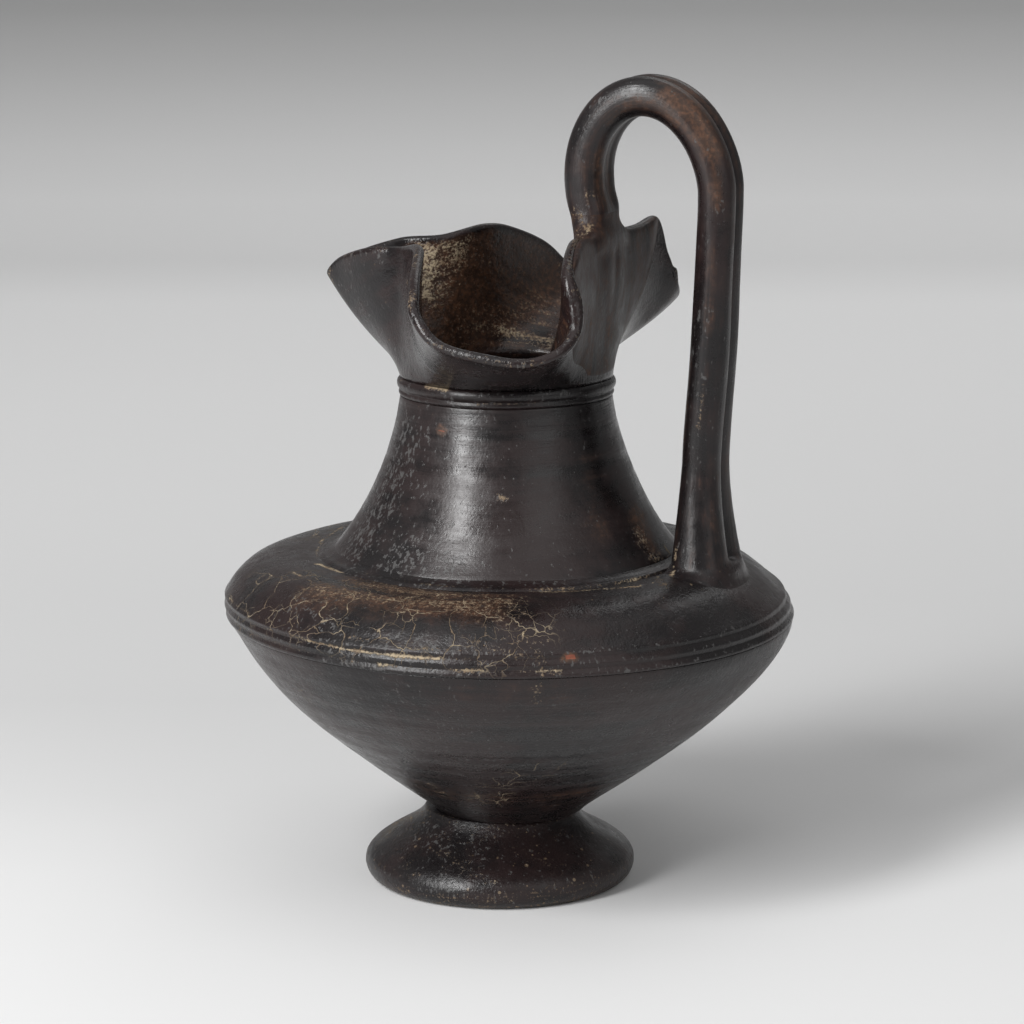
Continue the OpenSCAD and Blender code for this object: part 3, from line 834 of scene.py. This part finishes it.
def ground(n, t):
    """Dusk and plum patches, brown or even brick red where the mark is strong. Also how brown it is."""
    uneven = n.sum((t.patches, 0.5), (t.mottle, 0.25), (t.streak, 0.25))
    colour = n.mix(n.step(uneven, 0.43, 0.56), DUSK, PLUM)
    mark = n.mark("brown")
    browned = n.step(n.sum((mark, 1), (t.streak, 0.9), (t.mottle, 0.6)), 1.0, 1.55)
    colour = n.mix(browned, colour, n.mix(n.step(t.fine, 0.42, 0.66), BROWN, RUST))
    bricked = n.step(n.sum((mark, 1), (t.mottle, 0.25)), 1.05, 1.18)
    return n.mix(bricked, colour, BRICK), browned


def flecks(n, t):
    """Where the burnish is rubbed through, and where highlights and sheen are painted grey, 0 to 1."""
    fleck = n.noise(n.vectors("MULTIPLY", t.place, (1, 1, 0.55)), 1.55, 3.0, 0.65)
    return n.times(n.step(n.sum((fleck, 1), (n.mark("worn"), 0.14), (t.mottle, 0.2)), 0.75, 0.84), 0.85)


def deposits(n, t, speckle):
    """Deposits, and glints painted pale with them, in patches and in specks, both 0 to 1, and their colour.
    """
    mark = n.mark("buff")
    grit = n.sum((mark, 0.32), (t.tiny, 0.5), (t.fine, 0.35), (t.streak, 0.35))
    dots = n.specks(t.place, 6.5, 0.25, 0.42 * speckle)
    dusty = n.step(n.math("ADD", t.mottle, t.patches), 0.96, 1.12)
    dust = n.times(n.specks(t.place, 2.2, 0.25, 0.3 * speckle), dusty)
    pale = n.mix(n.step(n.sum((mark, 0.45), (t.mottle, 1)), 0.7, 0.95), TAN, CREAM)
    return n.step(grit, 0.77, 0.93), n.times(n.math("MAXIMUM", dots, dust), 0.55), pale


def clay(name, lines=1.0, speckle=1.0, rugged=1.0, rough=0.32, ior=1.44):
    """Black burnished clay with deposits, abrasion and cracks where the piece's marks ask for them, and with
    highlights, sheen and glints painted in grey and tan where marks ask for those. lines is how deep the
    burnishing lines are, speckle how wide the specks and rugged how strong the relief."""
    n = Nodes(name)
    t = textures(n)
    colour, browned = ground(n, t)
    worn = flecks(n, t)
    buff, spots, pale = deposits(n, t, speckle)
    net = n.times(cracks(n, t.place), n.step(n.mark("crack"), 0.2, 0.65))
    colour = n.mix(worn, colour, GREY)
    colour = n.mix(n.math("MAXIMUM", n.times(buff, 0.95), spots), colour, pale)
    colour = n.mix(n.times(net, 0.68), colour, n.mix(n.step(t.mottle, 0.42, 0.6), TAN, CREAM))
    n.put(n.shader.inputs["Base Color"], colour)

    dull = n.sum((rough - 0.45, 1), (t.mottle, 0.35), (t.streak, 0.35 * lines), (t.fine, 0.2),
                 (buff, 0.4), (worn, 0.12), (browned, 0.05), (net, 0.3))
    n.put(n.shader.inputs["Roughness"], n.math("MINIMUM", dull, 0.9))
    n.shader.inputs["IOR"].default_value = ior

    pits = n.specks(t.place, 6.5, 0.35, 0.6)
    height = n.sum((t.patches, 1.2), (t.turning, lines), (t.mottle, 0.28 * rugged), (t.fine, 0.06 * rugged),
                   (t.streak, 0.15 * lines), (t.thread, 0.06 * lines), (buff, 0.12), (net, -0.15),
                   (pits, -0.2), (worn, -0.05), (t.tiny, 0.09 * rugged))
    bump = n.node("ShaderNodeBump", {"Height": height, "Strength": 1.0, "Distance": MM})
    n.put(n.shader.inputs["Normal"], bump.outputs[0])
    return n.made


def places(piece):
    """The piece's points in millimetres."""
    flat = np.empty(3 * len(piece.data.vertices))
    piece.data.vertices.foreach_get("co", flat)
    return flat.reshape(-1, 3) / MM


def write(piece, name, values):
    """Stores a number or a vector for each point, for the clay's nodes."""
    kind = "FLOAT" if values.ndim == 1 else "FLOAT_VECTOR"
    made = piece.data.attributes.new(name, kind, "POINT")
    made.data.foreach_set("value" if values.ndim == 1 else "vector", values.astype(float).ravel())


def eye():
    return NEAR * CAMERA_FAR + RIGHT * CAMERA_SIDE + np.array([0, 0, CAMERA_H])


def seen_at(tree, pixel):
    """Where the camera's ray through a pixel of the photograph meets the piece."""
    fwd = -(NEAR * math.cos(VIEW_DIP) + np.array([0, 0, math.sin(VIEW_DIP)]))
    up = np.cross(RIGHT, fwd)
    sharp = LENS / SENSOR * PICTURE
    way = fwd + (pixel[0] - PICTURE / 2) / sharp * RIGHT - (pixel[1] - PICTURE / 2) / sharp * up
    hit = tree.ray_cast(Vector(eye() * MM), Vector(way).normalized())[0]
    return None if hit is None else np.array(hit) / MM


def stroked(piece, strokes, least):
    """How strongly a mark lies on each point of the piece: its strokes, or least where that is more."""
    faces = [tuple(f.vertices) for f in piece.data.polygons]
    tree = BVHTree.FromPolygons([v.co for v in piece.data.vertices], faces)
    points = places(piece)
    total = least + np.zeros(len(points))
    for width, strength, *pixels in strokes:
        spots = [q for q in (seen_at(tree, px) for px in pixels) if q is not None]
        for i, a in enumerate(spots):
            b = spots[min(i + 1, len(spots) - 1)]
            t = np.clip(((points - a) @ (b - a)) / max((b - a) @ (b - a), 1e-9), 0, 1)
            gap = np.linalg.norm(points - a - t[:, None] * (b - a), axis=1)
            total = np.maximum(total, strength * band(gap, 0, width))
    return total


def marked(piece, grain, material, **marks):
    """Writes the grain and the marks that the clay reads, and gives the piece its clay. A mark is its strokes
    and its least."""
    write(piece, "grain", grain)
    for name in ("brown", "worn", "crack", "buff"):
        write(piece, name, np.clip(stroked(piece, *marks.get(name, ([], 0))), 0, 1))
    piece.data.materials.append(material)


def turned_grain(points):
    """Lines that run round the piece, as burnishing on the wheel leaves them."""
    x, y, z = points.T
    return np.stack([x / 36, y / 36, z + 0.7 * np.hypot(x, y)], 1)


def drawn_grain(points):
    """Lines that run along the handle."""
    flat = points[:, [0, 2]]
    near = np.argmin(((flat[:, None] - LINE[None]) ** 2).sum(2), 1)
    inward = -((flat - LINE[near]) * left_of(LINE)[near]).sum(1)
    return np.stack([inward, points[:, 1], run_along(LINE)[near] / 22], 1)


def upright_grain(points):
    """Lines that run up and down."""
    return points / [1, 1, 18]


# Strokes on the pieces: half width in millimetres, strength, pixels of the photograph
FOOT_BUFF = [
    (7, 0.56, (385, 838), (400, 820), (425, 812)), (8, 0.48, (520, 850), (560, 868), (595, 872)),
    (6, 0.5, (440, 850), (470, 870), (492, 884)), (3, 0.5, (440, 816), (500, 826), (560, 822)),
    (4, 0.55, (402, 852), (408, 866)), (1.6, 0.75, (484, 884), (498, 882))]
# grey along the foot's rim edge and over its cone where the light shines: painted highlight and sheen
FOOT_PAINTED_SHEEN = [
    (3, 0.75, (425, 888), (470, 896)), (9, 0.7, (405, 826), (440, 842), (480, 848)),
    (8, 0.5, (420, 860), (460, 876))]
BOWL_CRACK = [(9, 0.8, (488, 800), (505, 782), (545, 768)), (10, 0.36, (300, 690), (340, 740))]
BOWL_BROWN = [(14, 0.4, (430, 790), (500, 800), (590, 790)), (10, 0.32, (470, 690), (560, 690))]
# grey on the bowl's lower left and front: painted sheen
BOWL_PAINTED_SHEEN = [(16, 0.6, (300, 690), (350, 740), (400, 780)), (16, 0.42, (420, 720), (480, 760))]
BOWL_BUFF = [(3, 0.55, (536, 683), (538, 700)), (4, 0.5, (430, 782), (445, 796))]
SHOULDER_CRACK = [
    (19, 1.0, (245, 600), (300, 592), (360, 600), (430, 612), (500, 622)),
    (9, 0.8, (300, 625), (380, 640), (460, 645))]
SHOULDER_SPOTS = [(659, 577), (652, 583), (637, 583), (661, 585), (657, 590), (674, 588), (691, 584),
                  (715, 591), (523, 634), (563, 628), (706, 624)]
SHOULDER_BUFF = [
    (1.4, 1.1, (318, 564), (340, 572), (356, 574)), (1.3, 1.0, (380, 578), (430, 584)),
    (1.5, 0.8, (356, 574), (372, 580), (430, 588), (552, 592), (640, 586)),
    (1.2, 0.8, (344, 526), (322, 540), (316, 554), (330, 564), (358, 573)),
    (1.5, 0.7, (500, 598), (527, 614)), (1.2, 0.9, (290, 572), (302, 576), (316, 575)),
    (15, 0.56, (330, 588), (420, 598), (500, 610)), (1.9, 0.7, (528, 640), (538, 652), (542, 672)),
    (0.9, 1.0, (229, 598), (250, 616), (300, 638), (348, 650), (396, 656), (440, 659)),
    (1.1, 0.95, (380, 664), (470, 670), (560, 672)), (1.2, 0.6, (350, 638), (420, 648), (500, 652)),
    (2.4, 0.55, (655, 578), (668, 588)), (1.2, 0.6, (690, 588), (716, 592)),
    (2.5, 0.6, (470, 642), (520, 655)), (1.6, 0.55, (450, 632), (520, 640), (552, 642)),
    (0.9, 0.9, (640, 578), (652, 575)),
    *((0.85, 1.1, spot) for spot in SHOULDER_SPOTS)]
SHOULDER_BROWN = [(1.7, 1.4, (566, 658), (574, 657)), (17, 0.62, (330, 590), (400, 600), (480, 606))]
SHOULDER_WORN = [
    (12, 0.4, (250, 575), (300, 560)), (6, 0.8, (380, 648), (440, 652)), (9, 0.6, (290, 610), (330, 625)),
    (3, 0.5, (400, 580), (640, 586))]
NECK_WORN = [
    (14, 1.2, (350, 552), (372, 520), (392, 478), (402, 445)), (13, 1.1, (400, 560), (440, 570)),
    (9, 0.35, (455, 450), (460, 530))]
NECK_BROWN = [
    (1.9, 1.15, (440, 430), (443, 432)), (8, 0.7, (640, 520), (650, 545)),
    (9, 0.34, (590, 470), (600, 530))]
CROTCH_BUFF = [
    (1.6, 0.85, (676, 549), (675, 558), (674, 566)), (1.5, 0.9, (664, 545), (669, 553)),
    (1.5, 0.9, (673, 572), (670, 580), (667, 585))]
NECK_BUFF = [
    (6, 0.62, (640, 535), (648, 550), (660, 562)), (2.4, 0.8, (668, 560), (672, 572)),
    (1.6, 0.8, (500, 496), (504, 499))]
# a tan glint on the upper bead's left and a thin pale line along it: painted highlight
BEAD_PAINTED_GLINT = [(1.6, 0.9, (426, 386), (446, 390)), (0.9, 0.5, (400, 380), (430, 387), (500, 391), (600, 388))]
INSIDE_CREAM = [
    (7, 0.86, (424, 243), (431, 262), (424, 288)), (6, 0.72, (440, 240), (456, 250), (466, 240)),
    (10, 0.6, (430, 300), (440, 280), (455, 262)), (6, 0.7, (500, 330), (530, 338), (552, 343)),
    (18, 0.36, (470, 258), (520, 272)), (12, 0.5, (455, 330), (500, 318), (545, 312))]
INSIDE_BROWN = [
    (30, 0.8, (440, 320), (480, 290), (530, 270)), (18, 0.75, (430, 250), (470, 250), (520, 250))]
LIP_WORN = [
    (2.6, 0.75, (395, 352), (440, 366), (500, 371), (552, 363), (572, 330), (568, 270)),
    (9, 0.42, (345, 290), (372, 322))]
LIP_BUFF = [
    (3, 0.62, (329, 270), (334, 284)), (2.5, 0.6, (562, 264), (570, 258)),
    (1.8, 0.5, (410, 262), (404, 300)), (1.6, 0.42, (430, 366), (470, 372))]
# pale at the crook of the rising rod: cream specks, with a painted highlight over them
ROOT_SPECKS_AND_HIGHLIGHT = [
    (4.2, 0.6, (578, 214), (584, 226), (578, 240)), (2.2, 0.75, (590, 226), (586, 234)),
    (2.4, 0.6, (580, 240), (568, 258))]
# grey down the ridge under the near rod and a streak at the far corner: painted highlights
PLATE_PAINTED_HIGHLIGHT = [(5, 0.6, (600, 305), (606, 365)), (10, 0.3, (640, 240), (660, 290))]
PLATE_BROWN = [(16, 0.3, (600, 250), (640, 300))]
ROD_BROWN = [
    (5, 0.88, (666, 94), (697, 116), (713, 150)), (4, 0.62, (713, 150), (717, 178), (717, 205)),
    (6, 0.62, (600, 160), (606, 200), (596, 225)), (4, 0.5, (640, 98), (610, 120)),
    (5, 0.42, (712, 250), (708, 330)), (5, 0.3, (700, 480), (702, 540))]
# the first stroke is a painted highlight at the crook of the rising rod; the rest are deposits
ROD_DEPOSITS_AND_HIGHLIGHT = [
    (4.5, 0.5, (590, 196), (585, 215)), (2.2, 0.85, (672, 545), (668, 575)),
    (1.2, 0.7, (703, 385), (698, 430)), (2.4, 0.45, (690, 112), (712, 135))]
# grey down the falling rod's left, round the inside top of the loop and at its lower end: painted highlight,
# with some grey streaks of wear
ROD_WEAR_AND_HIGHLIGHT = [
    (4, 0.6, (700, 300), (696, 380), (692, 470)), (3, 0.5, (575, 150), (600, 105), (640, 90)),
    (6, 0.7, (686, 560), (690, 575)), (3, 0.5, (718, 190), (716, 260))]


def dress_foot(piece):
    p = places(piece)
    low_edge = band(p[:, 2], 1.0, 2.0)
    marked(piece, turned_grain(p), clay("clay_foot", speckle=2.4, rugged=1.5, rough=0.36), brown=([], 0.14),
           worn=(FOOT_PAINTED_SHEEN, 0.2), buff=(FOOT_BUFF, 0.36 + 0.2 * low_edge))


def dress_bowl(piece):
    p = places(piece)
    # horizontal patches of painted sheen in grey
    mottled_painted_sheen = 0.3 * waves(p * [1, 1, 3], 45, 38)
    marked(piece, turned_grain(p), clay("clay_bowl", lines=0.9, rugged=1.5), brown=(BOWL_BROWN, 0),
           worn=(BOWL_PAINTED_SHEEN, mottled_painted_sheen), crack=(BOWL_CRACK, 0), buff=(BOWL_BUFF, 0))


# The shoulder's edge, with its ridges, is what lies farther out
EDGE_R = 95


def on_ridges(p, rows, half):
    """1 at those ridges of the shoulder's edge, counted up from 0, or at the grooves half way between."""
    at_edge = np.hypot(p[:, 0], p[:, 1]) > EDGE_R
    return sum(band(p[:, 2], RIDGE_H + RIDGE_PITCH * row, half) for row in rows) * at_edge


def dress_shoulder(piece):
    """Deposits in the grooves, most on the left, and at the ring, wear and a painted highlight on the crests,
    and cracks behind.
    """
    p = places(piece)
    left, unseen = smooth(-(p @ RIGHT), -60, 70), smooth(p @ NEAR, 20, -20)
    grooves = on_ridges(p, (0.5, 1.5), 0.9) * (0.3 + 0.7 * left)
    # grey along the ridge crests: painted highlight, with some rubbed wear
    crest_highlight_and_wear = on_ridges(p, (0, 1, 2), 0.8) * (0.8 + 0.3 * waves(p, 25, 39))
    at_ring = band(np.hypot(p[:, 0], p[:, 1]), RING_R + 3, 3) * smooth(waves(p, 25, 31), -0.4, 1)
    marked(piece, turned_grain(p), clay("clay_shoulder", lines=0.9, speckle=1.2, rugged=1.4),
           crack=(SHOULDER_CRACK, 0.6 * smooth(waves(p, 60, 32), 0.3, 1.0) * unseen),
           buff=(SHOULDER_BUFF, np.maximum(0.46 * grooves, 0.4 * at_ring)),
           brown=(SHOULDER_BROWN, 0), worn=(SHOULDER_WORN, crest_highlight_and_wear))


def dress_ring(piece, black):
    p = places(piece)
    edge = band(np.hypot(p[:, 0], p[:, 1]), RING_R + 0.8, 0.9) * (0.6 + 0.3 * waves(p, 25, 34))
    marked(piece, turned_grain(p), black, worn=([], 0.45 + 0.3 * waves(p, 20, 33)),
           buff=(CROTCH_BUFF, 0.75 * edge))


def dress_neck(piece):
    smooth_clay = clay("clay_neck", lines=1.2, rugged=0.6, rough=0.275, ior=1.5)
    marked(piece, turned_grain(places(piece)), smooth_clay, worn=(NECK_WORN, 0), brown=(NECK_BROWN, 0),
           buff=(NECK_BUFF + CROTCH_BUFF, 0))


def dress_collar(piece, black):
    """Deposits in the groove between the two beads, and a painted glint and highlight line on the upper bead.
    """
    p = places(piece)
    groove_h = NECK_TOP_H + LOW_BEAD * (MOUTH_H - NECK_TOP_H)
    groove = band(p[:, 2], groove_h, 0.7) * smooth(waves(p, 22, 36), -0.6, 0.8)
    marked(piece, turned_grain(p), black, worn=([], 0.4 + 0.3 * waves(p, 18, 35)),
           buff=(BEAD_PAINTED_GLINT, 0.5 * groove))


def dress_mouth(piece):
    """Brown and cream inside, and a worn lip, told apart by the rows of the mesh."""
    p = places(piece)
    row = np.repeat(np.arange(len(p) // COLUMNS), COLUMNS)
    inside = smooth(row, WALL_ROWS + 7, WALL_ROWS + 12)
    lip = band(row, WALL_ROWS + 4, 4.5) * (0.6 + 0.3 * waves(p, 14, 37))
    cream = inside * stroked(piece, INSIDE_CREAM, 0)
    marked(piece, turned_grain(p) * [3, 3, 1], clay("clay_mouth", lines=0.45, speckle=1.5, rugged=1.3),
           brown=([], inside * stroked(piece, INSIDE_BROWN, 0.36)), worn=(LIP_WORN, 0.9 * lip),
           buff=(LIP_BUFF, np.maximum(cream, 0.62 * lip)))


def dress_rods(rods):
    drawn = clay("clay_handle", lines=1.2, speckle=0.8, rugged=0.5, rough=0.3)
    for rod in rods:
        p = places(rod)
        bend = smooth(p[:, 2], ROOT_TOP_H + 22, HANDLE_TOP_H - 6) * smooth(p[:, 0], 40, 74)
        marked(rod, drawn_grain(p), drawn, worn=(ROD_WEAR_AND_HIGHLIGHT, 0), brown=(ROD_BROWN, 0.28 + 0.38 * bend),
               buff=(ROD_DEPOSITS_AND_HIGHLIGHT + ROOT_SPECKS_AND_HIGHLIGHT + CROTCH_BUFF, 0))


def dress_root_and_plate(root, plate):
    smeared = clay("clay_plate", lines=0.6, speckle=0.6, rough=0.5, ior=1.36)
    marked(root, upright_grain(places(root)), smeared, brown=([], 0.45), buff=(ROOT_SPECKS_AND_HIGHLIGHT, 0))
    marked(plate, upright_grain(places(plate)), smeared, worn=(PLATE_PAINTED_HIGHLIGHT, 0), brown=(PLATE_BROWN, 0.42))


def dress_pad(piece):
    marked(piece, upright_grain(places(piece)), clay("clay_pad"), worn=([], 0.2),
           buff=(SHOULDER_BUFF + CROTCH_BUFF, 0))


def camera():
    data = bpy.data.cameras.new("camera")
    data.lens, data.sensor_width = LENS, SENSOR
    data.clip_end = 20
    made = placed("camera", data)
    made.location = eye() * MM
    made.rotation_euler = (math.pi / 2 - VIEW_DIP, 0, VIEW_TURN)
    bpy.context.scene.camera = made


# Painted light and shade on the paper: its colour by the distance along it from the jug's axis, in
# millimetres, darker near the camera, a little behind the jug and up the backdrop, brightest just before the
# floor turns up
PAPER_PAINTED_LIGHT = [(-5500, 0.6), (-900, 0.68), (-200, 0.76), (-90, 0.76), (30, 0.745), (90, 0.707), (250, 0.65),
         (440, 0.68), (690, 0.758), (1020, 0.843), (1470, 0.93), (1915, 0.81), (2030, 0.705), (2125, 0.587),
         (2190, 0.495), (2240, 0.43), (2280, 0.364)]
# How far the paper runs before and behind the jug, half its width, radius and height of its back
PAPER_NEAR, PAPER_FAR, PAPER_HALF_W, PAPER_TURN, PAPER_H = 5500, 2600, 5500, 900, 2400


def stage():
    """A floor that turns up into a backdrop, far enough behind for its own gradient, with light and shade
    painted into its colour.
    """
    turn_at = PAPER_FAR - PAPER_TURN
    path = [(d, 0) for d in np.arange(-PAPER_NEAR, turn_at + 1, 50)]
    path += [(turn_at + PAPER_TURN * math.sin(t), PAPER_TURN * (1 - math.cos(t)))
             for t in np.linspace(0.03, math.pi / 2, 60)]
    path += [(PAPER_FAR, PAPER_H)]
    run = run_along(path) - PAPER_NEAR
    points = [(-NEAR * d + RIGHT * s + np.array([0, 0, h])) * MM
              for d, h in path for s in (-PAPER_HALF_W, PAPER_HALF_W)]
    faces = [(2 * i, 2 * i + 1, 2 * i + 3, 2 * i + 2) for i in range(len(path) - 1)]
    data = bpy.data.meshes.new("floor")
    data.from_pydata([p.tolist() for p in points], [], faces)
    data.shade_smooth()
    made = placed("floor", data)
    write(made, "painted_light_tone", np.repeat(np.interp(run, *zip(*PAPER_PAINTED_LIGHT)), 2))
    paper = Nodes("paper")
    paper.put(paper.shader.inputs["Base Color"], paper.mark("painted_light_tone"))
    paper.shader.inputs["Roughness"].default_value = 0.9
    data.materials.append(paper.made)


def lamp(name, turn, height, distance, width, tall, power, behind=0.0, right=0.0):
    """A soft box that looks at the jug, or at a place behind it and to its right. turn is degrees to the
    right of the camera, height degrees over the floor, power watts, and the rest metres."""
    data = bpy.data.lights.new(name, "AREA")
    data.shape, data.size, data.size_y, data.energy = "RECTANGLE", width, tall, power
    made = placed(name, data)
    a, e = math.radians(turn), math.radians(height)
    way = math.cos(e) * (math.cos(a) * NEAR + math.sin(a) * RIGHT) + np.array([0, 0, math.sin(e)])
    aim = Vector((0, 0, 0.15)) + Vector(-NEAR * behind + RIGHT * right)
    made.location = aim + Vector(way * distance)
    made.rotation_euler = (aim - made.location).to_track_quat("-Z", "Y").to_euler()


def world(strength):
    made = bpy.data.worlds.new("world")
    made.use_nodes = True
    background = made.node_tree.nodes["Background"]
    background.inputs["Color"].default_value = (1, 1, 1, 1)
    background.inputs["Strength"].default_value = strength
    bpy.context.scene.world = made


black_clay = clay("clay_turned")
dress_foot(foot())
dress_bowl(bowl())
dress_shoulder(shoulder())
dress_ring(neck_base_ring(), black_clay)
dress_neck(neck())
dress_collar(collar(), black_clay)
dress_mouth(mouth())
rod_near, rod_far, handle_root, handle_plate, handle_pad = handle()
dress_rods([rod_near, rod_far])
dress_root_and_plate(handle_root, handle_plate)
dress_pad(handle_pad)

camera()
stage()
lamp("key", -46, 31, 2.2, 0.55, 1.9, 60)
lamp("fill", 38, 28, 2.2, 1.3, 1.6, 5.5)
lamp("top", 0, 78, 1.8, 2.0, 2.0, 7.5)
lamp("backdrop", 0, 90, 1.5, 1.2, 1.2, 5.0, behind=1.6, right=0.7)
world(0.265)
bpy.context.scene.view_settings.view_transform = "Standard"
